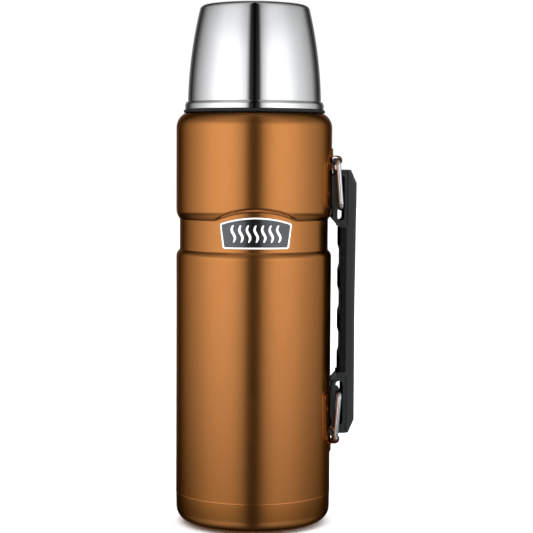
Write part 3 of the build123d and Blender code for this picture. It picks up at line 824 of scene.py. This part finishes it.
def weld_marks(name, node):
    """Low round marks with a dip in the middle, near a bracket plate's corners."""
    low, high = box_mm(node)
    plate_r = WALL_R + SMALL_GAP + BRACKET_SHEET
    vertices, faces = [], []
    profile = [(1.7, -0.05), (1.55, 0.1), (1.2, 0.16), (0.8, 0.1), (0.4, 0.05)]
    sides = 20
    for y in (low.y + WELD_INSET_Y, high.y - WELD_INSET_Y):
        for z in (low.z + WELD_INSET_Z, high.z - WELD_INSET_Z):
            base = len(vertices)
            across = asin(y / plate_r)
            for ring_r, lift in profile:
                for k in range(sides):
                    turn = 2 * pi * k / sides
                    angle = across + ring_r * cos(turn) / plate_r
                    radius = plate_r + lift
                    vertices.append((radius * cos(angle), radius * sin(angle), z + ring_r * sin(turn)))
            for ring in range(len(profile) - 1):
                for k in range(sides):
                    nxt = (k + 1) % sides
                    a, b = base + ring * sides, base + (ring + 1) * sides
                    faces.append((a + k, a + nxt, b + nxt, b + k))
            faces.append(tuple(base + (len(profile) - 1) * sides + k for k in range(sides)))
            faces.append(tuple(base + k for k in reversed(range(sides))))
    return mesh_object(name, vertices, faces)


for node in ("upper_bracket", "lower_bracket"):
    place(refined(node, 0.3, segments=3), "root", "copper_paint", COPPER, node)
    place(weld_marks(node + "_welds", node), "root", "copper_paint", COPPER)

# Bails: bent wire ---------------------------------------------------------------------------------

WIRE_R = 1.45
BAIL_HALF_WIDTH = 14.9
BAIL_BEND_R = 3.2
WIRE_END_GAP = 1.2


def bail(name, pivot, rod):
    """A rectangular loop of wire from its pivot bar to its end rod, open in the middle of the rod."""
    corners = [
        (WIRE_END_GAP / 2, 1),
        (BAIL_HALF_WIDTH, 1),
        (BAIL_HALF_WIDTH, 0),
        (-BAIL_HALF_WIDTH, 0),
        (-BAIL_HALF_WIDTH, 1),
        (-WIRE_END_GAP / 2, 1),
    ]
    start, along = Vector(pivot) / MM, (Vector(rod) - Vector(pivot)) / MM
    length = along.length
    flat = rounded([(y, share * length) for y, share in corners], [BAIL_BEND_R] * 4, step=6.0)
    curve = bpy.data.curves.new(name, "CURVE")
    curve.dimensions = "3D"
    curve.bevel_depth = WIRE_R * MM
    curve.bevel_resolution = 10
    curve.use_fill_caps = True
    spline = curve.splines.new("POLY")
    spline.points.add(len(flat) - 1)
    for point, (y, reach) in zip(spline.points, flat):
        at = (start + along * (reach / length) + Vector((0, y, 0))) * MM
        point.co = (*at, 1)
    wire = add_object(name, curve)
    graph = bpy.context.evaluated_depsgraph_get()
    mesh = bpy.data.meshes.new_from_object(wire.evaluated_get(graph), depsgraph=graph)
    bpy.data.objects.remove(wire)
    work = bmesh.new()
    work.from_mesh(mesh)
    bmesh.ops.remove_doubles(work, verts=work.verts, dist=1e-6)
    work.to_mesh(mesh)
    work.free()
    made = add_object(name, mesh)
    soften_edges(made, 0.35, 60, 2)
    return made


upper_pivot = Vector(joint_at["upper_bail_swing"]["pos_m"])
upper_rod = Vector(joint_at["handle_pivot"]["pos_m"])
lower_pivot = Vector(joint_at["lower_bail_swing"]["pos_m"])
reach = upper_rod - upper_pivot
lower_rod = lower_pivot + Vector((reach.x, 0, -reach.z))  # the lower bail is the upper one, turned over
place(bail("upper_bail_wire", upper_pivot, upper_rod), "upper_bail", "chromed_wire", WIRE, "upper_bail")
place(bail("lower_bail_wire", lower_pivot, lower_rod), "lower_bail", "chromed_wire", WIRE, "lower_bail")

# Handle -------------------------------------------------------------------------------------------

grip_low, grip_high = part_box("handle_grip")
GRIP_FRONT = grip_low.x / MM
GRIP_LOW_Z = grip_low.z / MM
GRIP_HIGH_Z = grip_high.z / MM
SCALLOPS = (161.6, 136.0, 110.4)  # heights of their middles
SCALLOP_DEPTH = 1.3
SCALLOP_LENGTH = 15.0


def crowned_handle():
    """The handle's body; its long side faces lean in a little toward the back."""
    made = refined("handle_body", 0.35, segments=3)
    start, lean = 56.2, 0.01
    for vertex in made.data.vertices:
        beyond = vertex.co.x / MM - start
        if beyond > 0:
            vertex.co.y *= 1 - lean * beyond
    return made


def grip_pad():
    """Soft rubber over the handle's inner edge, with three finger scallops."""
    half_width, back_x = 12.2, 55.6
    scallop_r = (SCALLOP_LENGTH**2 / 4 + SCALLOP_DEPTH**2) / (2 * SCALLOP_DEPTH)
    steps = 110
    front = []
    for k in range(steps + 1):
        z = GRIP_LOW_Z + (GRIP_HIGH_Z - GRIP_LOW_Z) * k / steps
        x = GRIP_FRONT
        for middle in SCALLOPS:
            if abs(z - middle) < SCALLOP_LENGTH / 2:
                x = max(x, GRIP_FRONT + SCALLOP_DEPTH - scallop_r + sqrt(scallop_r**2 - (z - middle) ** 2))
        front.append((x, z))
    outline = front + [(back_x, z) for _, z in reversed(front)]
    count = len(outline)
    vertices = [(x, y, z) for y in (-half_width, half_width) for x, z in outline]
    faces = [tuple(range(count)), tuple(range(2 * count - 1, count - 1, -1))]
    faces += [(k, (k + 1) % count, count + (k + 1) % count, count + k) for k in range(count)]
    made = mesh_object("grip_pad", vertices, faces)
    soften_edges(made, 0.5, 45, 3)
    even_normals(made)
    return made


place(crowned_handle(), "handle", "black_plastic", HANDLE_PLASTIC, "handle_body")
place(refined("handle_grip", 0.3), "handle", "grip_rubber", GRIP_RUBBER, "handle_grip")
place(grip_pad(), "handle", "grip_rubber", GRIP_RUBBER)

# Stopper and collar -------------------------------------------------------------------------------

place(refined("stopper_cap", 0.35, segments=3), "stopper", "stopper_plastic", STOPPER_PLASTIC, "stopper_cap")
place(refined("stopper_body", 0.15), "stopper", "stopper_plastic", STOPPER_PLASTIC, "stopper_body")
place(refined("neck_collar", 0.15), "root", "black_plastic", RING_PLASTIC, "neck_collar")

# Floor, light and camera --------------------------------------------------------------------------

CAMERA_PLACE = (-0.0279, -0.9726, 0.2231)
CAMERA_TURN = -2.1  # degrees about the vertical
CAMERA_DIP = 3.954
CAMERA_ROLL = 0.305
CAMERA_LENS = 108.35


def photo_camera():
    lens = bpy.data.cameras.new("photo_camera")
    lens.lens = CAMERA_LENS
    lens.sensor_width = 36.0
    lens.clip_start = 0.01
    lens.clip_end = 50.0
    holder = add_object("photo_camera", lens)
    turn = Matrix.Rotation(radians(CAMERA_TURN), 3, "Z")
    dip = Matrix.Rotation(radians(90 - CAMERA_DIP), 3, "X")
    roll = Matrix.Rotation(radians(CAMERA_ROLL), 3, "Z")
    holder.matrix_world = (turn @ dip @ roll).to_4x4()
    holder.location = CAMERA_PLACE
    bpy.context.scene.camera = holder


def pale_floor():
    half = 6.0
    corners = [(-half, -half, 0), (half, -half, 0), (half, half, 0), (-half, half, 0)]
    mesh = bpy.data.meshes.new("floor")
    mesh.from_pydata(corners, [], [(0, 1, 2, 3)])
    floor = add_object("floor", mesh)
    paint = material("floor_paint", (0.9, 0.9, 0.9), 0.0, 0.9)
    vary_colour(paint, noise(paint, 3.0), (0.89, 0.89, 0.89), (0.91, 0.91, 0.91))
    mesh.materials.append(paint)
    floor.visible_glossy = False  # so that the metal shows the studio around it down to its foot


# Light of the studio round the flask: degrees from the camera's side, and brightness there. Negative is left.
STUDIO_ROUND = (
    (-180, 0.26),
    (-168, 0.22),
    (-156, 0.08),
    (-142, 0.01),
    (-130, 0.1),
    (-119, 0.24),
    (-102, 0.42),
    (-89, 0.56),
    (-77, 0.73),
    (-64, 0.91),
    (-45, 1.0),
    (-33, 0.97),
    (-23, 0.8),
    (-15, 0.62),
    (-8.2, 0.03),
    (0, 0.0),
    (8.2, 0.03),
    (14, 0.5),
    (23, 0.8),
    (33, 0.95),
    (45, 0.94),
    (60, 0.84),
    (72, 0.68),
    (84, 0.54),
    (102, 0.41),
    (119, 0.28),
    (132, 0.07),
    (144, 0.01),
    (156, 0.08),
    (168, 0.2),
    (180, 0.26),
)
# Brightness by height: degrees above the horizon
STUDIO_UPWARD = (
    (-90, 0.08),
    (-76, 0.06),
    (-66, 0.14),
    (-55, 0.3),
    (-42, 0.46),
    (-28, 0.42),
    (-18, 0.12),
    (-13.5, 0.06),
    (-11.5, 0.3),
    (-9.5, 0.74),
    (-7.5, 0.96),
    (-4, 1.0),
    (8, 0.98),
    (18, 0.88),
    (26, 0.62),
    (36, 0.45),
    (48, 0.42),
    (60, 0.34),
    (72, 0.26),
    (90, 0.24),
)


def fill_ramp(ramp, stops):
    """Stops are (position from 0 to 1, grey value)."""
    elements = ramp.color_ramp.elements
    while len(elements) > 1:
        elements.remove(elements[-1])
    elements[0].position = stops[0][0]
    elements[0].color = (stops[0][1],) * 3 + (1,)
    for position, value in stops[1:]:
        elements.new(position).color = (value,) * 3 + (1,)


def studio():
    """Soft white walls, with a dark gap around the camera and one on each side behind the flask."""
    world = bpy.data.worlds.new("studio")
    bpy.context.scene.world = world
    world.use_nodes = True
    tree = world.node_tree
    tree.nodes.clear()
    new, join = tree.nodes.new, tree.links.new
    direction = new("ShaderNodeTexCoord").outputs["Generated"]
    parts = new("ShaderNodeSeparateXYZ")
    join(direction, parts.inputs[0])
    camera_side = atan2(CAMERA_PLACE[0], -CAMERA_PLACE[1])
    spin = new("ShaderNodeVectorRotate")
    spin.rotation_type = "Z_AXIS"
    spin.inputs["Angle"].default_value = -camera_side
    join(direction, spin.inputs["Vector"])
    turned_parts = new("ShaderNodeSeparateXYZ")
    join(spin.outputs[0], turned_parts.inputs[0])
    toward = new("ShaderNodeMath")
    toward.operation = "MULTIPLY"
    toward.inputs[1].default_value = -1.0
    join(turned_parts.outputs["Y"], toward.inputs[0])
    angle = new("ShaderNodeMath")
    angle.operation = "ARCTAN2"
    join(turned_parts.outputs["X"], angle.inputs[0])
    join(toward.outputs[0], angle.inputs[1])
    share = new("ShaderNodeMapRange")
    share.inputs["From Min"].default_value = -pi
    share.inputs["From Max"].default_value = pi
    join(angle.outputs[0], share.inputs["Value"])
    round_ramp = new("ShaderNodeValToRGB")
    fill_ramp(round_ramp, [((a + 180) / 360, value) for a, value in STUDIO_ROUND])
    join(share.outputs["Result"], round_ramp.inputs[0])
    height = new("ShaderNodeMapRange")
    height.inputs["From Min"].default_value = -1.0
    join(parts.outputs["Z"], height.inputs["Value"])
    upward_ramp = new("ShaderNodeValToRGB")
    fill_ramp(upward_ramp, [((sin(radians(a)) + 1) / 2, value) for a, value in STUDIO_UPWARD])
    join(height.outputs["Result"], upward_ramp.inputs[0])
    both = new("ShaderNodeMix")
    both.data_type = "RGBA"
    both.blend_type = "MULTIPLY"
    both.inputs["Factor"].default_value = 1.0
    join(round_ramp.outputs["Color"], both.inputs["A"])
    join(upward_ramp.outputs["Color"], both.inputs["B"])
    lit = new("ShaderNodeBackground")
    lit.inputs["Strength"].default_value = 1.4
    join(both.outputs["Result"], lit.inputs["Color"])
    seen = new("ShaderNodeBackground")
    seen.inputs["Color"].default_value = (1, 1, 1, 1)
    mix = new("ShaderNodeMixShader")
    join(new("ShaderNodeLightPath").outputs["Is Camera Ray"], mix.inputs[0])
    join(lit.outputs[0], mix.inputs[1])
    join(seen.outputs[0], mix.inputs[2])
    join(mix.outputs[0], new("ShaderNodeOutputWorld").inputs["Surface"])


def softbox(name, place_at, aim, size, power):
    """A soft lamp, which mirrors don't show: they show the studio's walls."""
    lamp = bpy.data.lights.new(name, "AREA")
    lamp.shape = "RECTANGLE"
    lamp.size, lamp.size_y = size
    lamp.energy = power
    holder = add_object(name, lamp)
    holder.location = place_at
    holder.rotation_euler = (Vector(aim) - Vector(place_at)).to_track_quat("-Z", "Y").to_euler()
    holder.visible_glossy = False


def overhead(strength, spread):
    """Even light from above, as soft as from a ceiling; spread is its width in degrees."""
    lamp = bpy.data.lights.new("overhead", "SUN")
    lamp.energy = strength
    lamp.angle = radians(spread)
    add_object("overhead", lamp).visible_glossy = False


photo_camera()
pale_floor()
studio()
middle_of_flask = (0, 0, 0.15)
softbox("key_softbox", (-1.1, -1.2, 1.3), middle_of_flask, (1.2, 1.2), 14)
softbox("fill_softbox", (1.4, -0.8, 0.9), middle_of_flask, (1.0, 1.4), 16)
softbox("back_softbox", (0.2, 1.6, 1.0), middle_of_flask, (1.4, 1.0), 10)
overhead(3.7, 80)
bpy.context.scene.view_settings.view_transform = "Standard"
